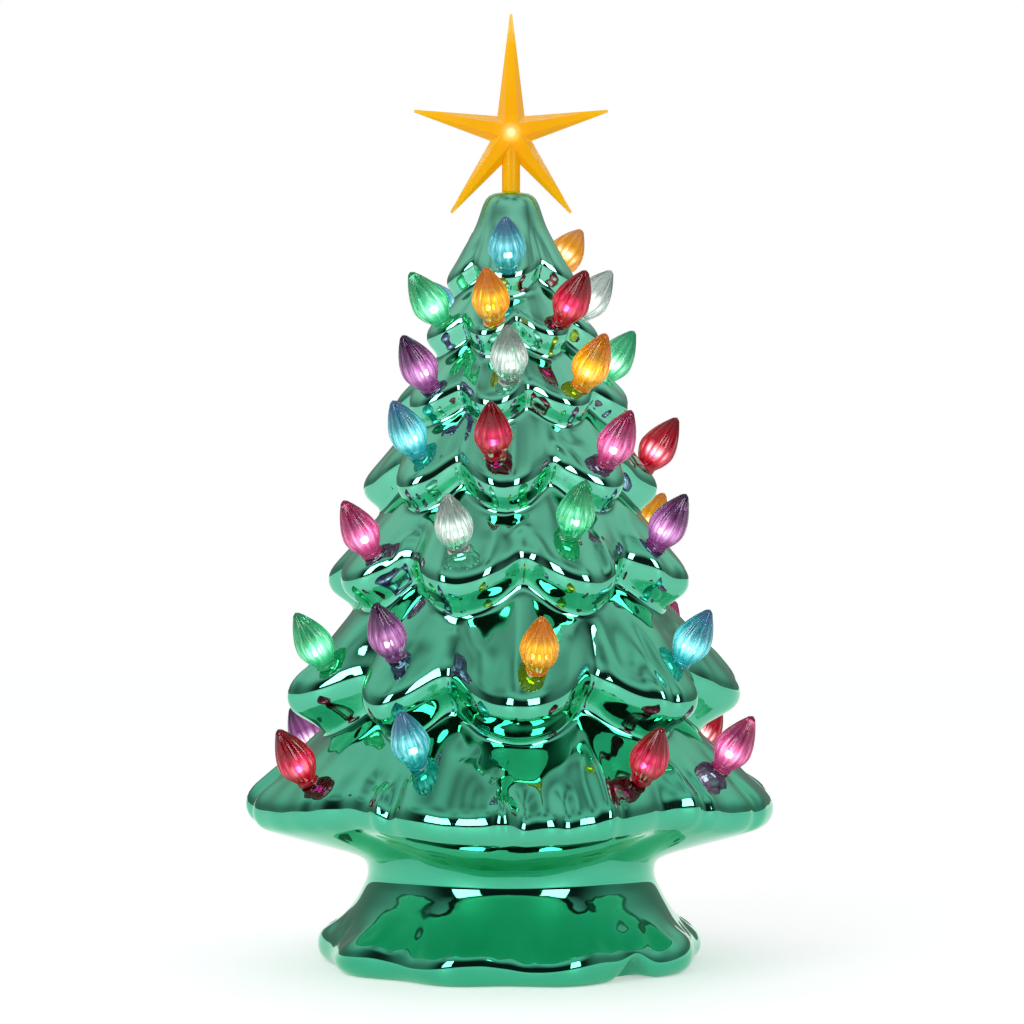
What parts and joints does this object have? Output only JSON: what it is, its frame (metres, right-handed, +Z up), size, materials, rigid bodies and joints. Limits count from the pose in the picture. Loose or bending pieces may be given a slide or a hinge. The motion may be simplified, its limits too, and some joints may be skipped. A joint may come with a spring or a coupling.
{
  "type": "ceramic christmas tree",
  "caption": "Table-top ceramic tree with drooping lobed tiers in mirror green, push-in flame bulbs, an amber star and a cell-powered light in its foot.",
  "frame": {"origin": "on the table, under the tree's axis", "axes": "+Z up along the tree's axis, front towards -Y"},
  "size_m": [0.2082, 0.2107, 0.381],
  "materials": {
    "mirror_green": "electroplated mirror gloss",
    "amber": "translucent, polished",
    "housing": "fine moulded grain",
    "foam": "closed cell foam",
    "cell_can": "plain wrap",
    "spring_steel": "nickel plated",
    "board": "solder resist",
    "lamp": "clear moulded lens",
    "switch": "moulded",
    "bulb_red": "translucent, fluted",
    "bulb_orange": "translucent, fluted",
    "bulb_green": "translucent, fluted",
    "bulb_blue": "translucent, fluted",
    "bulb_purple": "translucent, fluted",
    "bulb_magenta": "translucent, fluted",
    "bulb_clear": "translucent, fluted"
  },
  "bodies": {
    "tree": {"ceramic_tree": "mirror_green", "light_housing": "housing", "housing_gasket": "foam", "battery_cells": "cell_can", "contact_springs": "spring_steel", "battery_contacts": "spring_steel", "switch_case": "switch", "circuit_board": "board", "board_screws": "spring_steel", "led_lamps": "lamp"},
    "star": {"star_topper": "amber"},
    "door": {"battery_door": "housing"},
    "slider": {"switch_slider": "switch"},
    "bulb_1a_blue": {"bulb_1a_blue": "bulb_blue"},
    "bulb_1b_orange": {"bulb_1b_orange": "bulb_orange"},
    "bulb_1c_green": {"bulb_1c_green": "bulb_green"},
    "bulb_2a_green": {"bulb_2a_green": "bulb_green"},
    "bulb_2b_orange": {"bulb_2b_orange": "bulb_orange"},
    "bulb_2c_red": {"bulb_2c_red": "bulb_red"},
    "bulb_2d_clear": {"bulb_2d_clear": "bulb_clear"},
    "bulb_2e_purple": {"bulb_2e_purple": "bulb_purple"},
    "bulb_2f_blue": {"bulb_2f_blue": "bulb_blue"},
    "bulb_3a_purple": {"bulb_3a_purple": "bulb_purple"},
    "bulb_3b_clear": {"bulb_3b_clear": "bulb_clear"},
    "bulb_3c_orange": {"bulb_3c_orange": "bulb_orange"},
    "bulb_3d_green": {"bulb_3d_green": "bulb_green"},
    "bulb_3e_red": {"bulb_3e_red": "bulb_red"},
    "bulb_3f_blue": {"bulb_3f_blue": "bulb_blue"},
    "bulb_4a_blue": {"bulb_4a_blue": "bulb_blue"},
    "bulb_4b_red": {"bulb_4b_red": "bulb_red"},
    "bulb_4c_magenta": {"bulb_4c_magenta": "bulb_magenta"},
    "bulb_4d_red": {"bulb_4d_red": "bulb_red"},
    "bulb_4e_green": {"bulb_4e_green": "bulb_green"},
    "bulb_4f_orange": {"bulb_4f_orange": "bulb_orange"},
    "bulb_4g_clear": {"bulb_4g_clear": "bulb_clear"},
    "bulb_5a_magenta": {"bulb_5a_magenta": "bulb_magenta"},
    "bulb_5b_clear": {"bulb_5b_clear": "bulb_clear"},
    "bulb_5c_green": {"bulb_5c_green": "bulb_green"},
    "bulb_5d_purple": {"bulb_5d_purple": "bulb_purple"},
    "bulb_5e_orange": {"bulb_5e_orange": "bulb_orange"},
    "bulb_5f_blue": {"bulb_5f_blue": "bulb_blue"},
    "bulb_5g_red": {"bulb_5g_red": "bulb_red"},
    "bulb_6a_green": {"bulb_6a_green": "bulb_green"},
    "bulb_6b_purple": {"bulb_6b_purple": "bulb_purple"},
    "bulb_6c_orange": {"bulb_6c_orange": "bulb_orange"},
    "bulb_6d_blue": {"bulb_6d_blue": "bulb_blue"},
    "bulb_6e_green": {"bulb_6e_green": "bulb_green"},
    "bulb_6f_magenta": {"bulb_6f_magenta": "bulb_magenta"},
    "bulb_6g_red": {"bulb_6g_red": "bulb_red"},
    "bulb_7a_red": {"bulb_7a_red": "bulb_red"},
    "bulb_7b_purple": {"bulb_7b_purple": "bulb_purple"},
    "bulb_7c_blue": {"bulb_7c_blue": "bulb_blue"},
    "bulb_7d_red": {"bulb_7d_red": "bulb_red"},
    "bulb_7e_magenta": {"bulb_7e_magenta": "bulb_magenta"},
    "bulb_7f_red": {"bulb_7f_red": "bulb_red"},
    "bulb_7g_green": {"bulb_7g_green": "bulb_green"}
  },
  "joints": [
    {"name": "star_lift", "type": "slide", "parent": "tree", "child": "star", "axis": [0, 0, 1], "range_m": [0, 0.02]},
    {"name": "door_swing", "type": "hinge", "parent": "tree", "child": "door", "pos_m": [0, 0.0245, 0.0045], "axis": [1, 0, 0], "range_deg": [0, 95]},
    {"name": "switch_slide", "type": "slide", "parent": "tree", "child": "slider", "axis": [1, 0, 0], "range_m": [0, 0.004]},
    {"name": "bulb_1a_blue_pull", "type": "slide", "parent": "tree", "child": "bulb_1a_blue", "axis": [-0.035, -0.6682, 0.7432], "range_m": [0, 0.015]},
    {"name": "bulb_1b_orange_pull", "type": "slide", "parent": "tree", "child": "bulb_1b_orange", "axis": [0.4813, 0.4648, 0.7432], "range_m": [0, 0.015]},
    {"name": "bulb_1c_green_pull", "type": "slide", "parent": "tree", "child": "bulb_1c_green", "axis": [-0.2506, 0.6204, 0.7432], "range_m": [0, 0.015]},
    {"name": "bulb_2a_green_pull", "type": "slide", "parent": "tree", "child": "bulb_2a_green", "axis": [-0.5159, -0.335, 0.7885], "range_m": [0, 0.015]},
    {"name": "bulb_2b_orange_pull", "type": "slide", "parent": "tree", "child": "bulb_2b_orange", "axis": [-0.1279, -0.6017, 0.7885], "range_m": [0, 0.015]},
    {"name": "bulb_2c_red_pull", "type": "slide", "parent": "tree", "child": "bulb_2c_red", "axis": [0.3787, -0.4847, 0.7885], "range_m": [0, 0.015]},
    {"name": "bulb_2d_clear_pull", "type": "slide", "parent": "tree", "child": "bulb_2d_clear", "axis": [0.578, 0.2104, 0.7885], "range_m": [0, 0.015]},
    {"name": "bulb_2e_purple_pull", "type": "slide", "parent": "tree", "child": "bulb_2e_purple", "axis": [0.1592, 0.5941, 0.7885], "range_m": [0, 0.015]},
    {"name": "bulb_2f_blue_pull", "type": "slide", "parent": "tree", "child": "bulb_2f_blue", "axis": [-0.4349, 0.4349, 0.7885], "range_m": [0, 0.015]},
    {"name": "bulb_3a_purple_pull", "type": "slide", "parent": "tree", "child": "bulb_3a_purple", "axis": [-0.427, -0.3845, 0.8184], "range_m": [0, 0.015]},
    {"name": "bulb_3b_clear_pull", "type": "slide", "parent": "tree", "child": "bulb_3b_clear", "axis": [-0.01, -0.5745, 0.8184], "range_m": [0, 0.015]},
    {"name": "bulb_3c_orange_pull", "type": "slide", "parent": "tree", "child": "bulb_3c_orange", "axis": [0.377, -0.4337, 0.8184], "range_m": [0, 0.015]},
    {"name": "bulb_3d_green_pull", "type": "slide", "parent": "tree", "child": "bulb_3d_green", "axis": [0.555, 0.1487, 0.8184], "range_m": [0, 0.015]},
    {"name": "bulb_3e_red_pull", "type": "slide", "parent": "tree", "child": "bulb_3e_red", "axis": [0.2428, 0.5208, 0.8184], "range_m": [0, 0.015]},
    {"name": "bulb_3f_blue_pull", "type": "slide", "parent": "tree", "child": "bulb_3f_blue", "axis": [-0.2519, 0.5165, 0.8184], "range_m": [0, 0.015]},
    {"name": "bulb_4a_blue_pull", "type": "slide", "parent": "tree", "child": "bulb_4a_blue", "axis": [-0.3921, -0.3787, 0.8384], "range_m": [0, 0.015]},
    {"name": "bulb_4b_red_pull", "type": "slide", "parent": "tree", "child": "bulb_4b_red", "axis": [-0.0664, -0.541, 0.8384], "range_m": [0, 0.015]},
    {"name": "bulb_4c_magenta_pull", "type": "slide", "parent": "tree", "child": "bulb_4c_magenta", "axis": [0.3787, -0.3921, 0.8384], "range_m": [0, 0.015]},
    {"name": "bulb_4d_red_pull", "type": "slide", "parent": "tree", "child": "bulb_4d_red", "axis": [0.5421, 0.057, 0.8384], "range_m": [0, 0.015]},
    {"name": "bulb_4e_green_pull", "type": "slide", "parent": "tree", "child": "bulb_4e_green", "axis": [0.328, 0.4353, 0.8384], "range_m": [0, 0.015]},
    {"name": "bulb_4f_orange_pull", "type": "slide", "parent": "tree", "child": "bulb_4f_orange", "axis": [-0.104, 0.5351, 0.8384], "range_m": [0, 0.015]},
    {"name": "bulb_4g_clear_pull", "type": "slide", "parent": "tree", "child": "bulb_4g_clear", "axis": [-0.3718, 0.3987, 0.8384], "range_m": [0, 0.015]},
    {"name": "bulb_5a_magenta_pull", "type": "slide", "parent": "tree", "child": "bulb_5a_magenta", "axis": [-0.4404, -0.32, 0.8388], "range_m": [0, 0.015]},
    {"name": "bulb_5b_clear_pull", "type": "slide", "parent": "tree", "child": "bulb_5b_clear", "axis": [-0.1682, -0.5178, 0.8388], "range_m": [0, 0.015]},
    {"name": "bulb_5c_green_pull", "type": "slide", "parent": "tree", "child": "bulb_5c_green", "axis": [0.2039, -0.5048, 0.8388], "range_m": [0, 0.015]},
    {"name": "bulb_5d_purple_pull", "type": "slide", "parent": "tree", "child": "bulb_5d_purple", "axis": [0.4761, -0.2639, 0.8388], "range_m": [0, 0.015]},
    {"name": "bulb_5e_orange_pull", "type": "slide", "parent": "tree", "child": "bulb_5e_orange", "axis": [0.4566, 0.2965, 0.8388], "range_m": [0, 0.015]},
    {"name": "bulb_5f_blue_pull", "type": "slide", "parent": "tree", "child": "bulb_5f_blue", "axis": [0.019, 0.5441, 0.8388], "range_m": [0, 0.015]},
    {"name": "bulb_5g_red_pull", "type": "slide", "parent": "tree", "child": "bulb_5g_red", "axis": [-0.3499, 0.417, 0.8388], "range_m": [0, 0.015]},
    {"name": "bulb_6a_green_pull", "type": "slide", "parent": "tree", "child": "bulb_6a_green", "axis": [-0.4848, -0.247, 0.839], "range_m": [0, 0.015]},
    {"name": "bulb_6b_purple_pull", "type": "slide", "parent": "tree", "child": "bulb_6b_purple", "axis": [-0.3043, -0.4511, 0.839], "range_m": [0, 0.015]},
    {"name": "bulb_6c_orange_pull", "type": "slide", "parent": "tree", "child": "bulb_6c_orange", "axis": [0.0663, -0.5401, 0.839], "range_m": [0, 0.015]},
    {"name": "bulb_6d_blue_pull", "type": "slide", "parent": "tree", "child": "bulb_6d_blue", "axis": [0.4457, -0.3121, 0.839], "range_m": [0, 0.015]},
    {"name": "bulb_6e_green_pull", "type": "slide", "parent": "tree", "child": "bulb_6e_green", "axis": [0.0474, 0.5421, 0.839], "range_m": [0, 0.015]},
    {"name": "bulb_6f_magenta_pull", "type": "slide", "parent": "tree", "child": "bulb_6f_magenta", "axis": [0.398, 0.3711, 0.839], "range_m": [0, 0.015]},
    {"name": "bulb_6g_red_pull", "type": "slide", "parent": "tree", "child": "bulb_6g_red", "axis": [-0.2883, 0.4614, 0.839], "range_m": [0, 0.015]},
    {"name": "bulb_7a_red_pull", "type": "slide", "parent": "tree", "child": "bulb_7a_red", "axis": [-0.4513, -0.3044, 0.8388], "range_m": [0, 0.015]},
    {"name": "bulb_7b_purple_pull", "type": "slide", "parent": "tree", "child": "bulb_7b_purple", "axis": [-0.4761, 0.2639, 0.8388], "range_m": [0, 0.015]},
    {"name": "bulb_7c_blue_pull", "type": "slide", "parent": "tree", "child": "bulb_7c_blue", "axis": [-0.2301, -0.4934, 0.8388], "range_m": [0, 0.015]},
    {"name": "bulb_7d_red_pull", "type": "slide", "parent": "tree", "child": "bulb_7d_red", "axis": [0.2965, -0.4566, 0.8388], "range_m": [0, 0.015]},
    {"name": "bulb_7e_magenta_pull", "type": "slide", "parent": "tree", "child": "bulb_7e_magenta", "axis": [0.4934, -0.2301, 0.8388], "range_m": [0, 0.015]},
    {"name": "bulb_7f_red_pull", "type": "slide", "parent": "tree", "child": "bulb_7f_red", "axis": [0.4617, 0.2885, 0.8388], "range_m": [0, 0.015]},
    {"name": "bulb_7g_green_pull", "type": "slide", "parent": "tree", "child": "bulb_7g_green", "axis": [0.0474, 0.5423, 0.8388], "range_m": [0, 0.015]}
  ]
}
